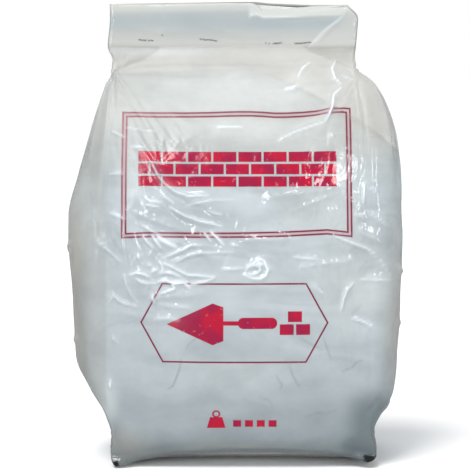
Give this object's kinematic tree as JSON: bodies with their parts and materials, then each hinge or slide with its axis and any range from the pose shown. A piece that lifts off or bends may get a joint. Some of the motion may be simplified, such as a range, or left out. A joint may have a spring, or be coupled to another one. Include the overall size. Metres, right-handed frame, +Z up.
{
  "type": "cement bag",
  "caption": "Small clear side-gusseted film bag filled with cement powder, standing upright, welded flat across its mouth.",
  "frame": {"origin": "on the floor, under the middle of the bag", "axes": "+Z up from the foot to the mouth, +X to the right as seen from the printed front, -Y out of the front"},
  "size_m": [0.1286, 0.0564, 0.174],
  "materials": {
    "clear_film": "clear glossy polyethylene film, creased",
    "cement_powder": "matte pale grey powder"
  },
  "bodies": {
    "root": {"film_bag": "clear_film", "cement_fill": "cement_powder"}
  },
  "joints": []
}
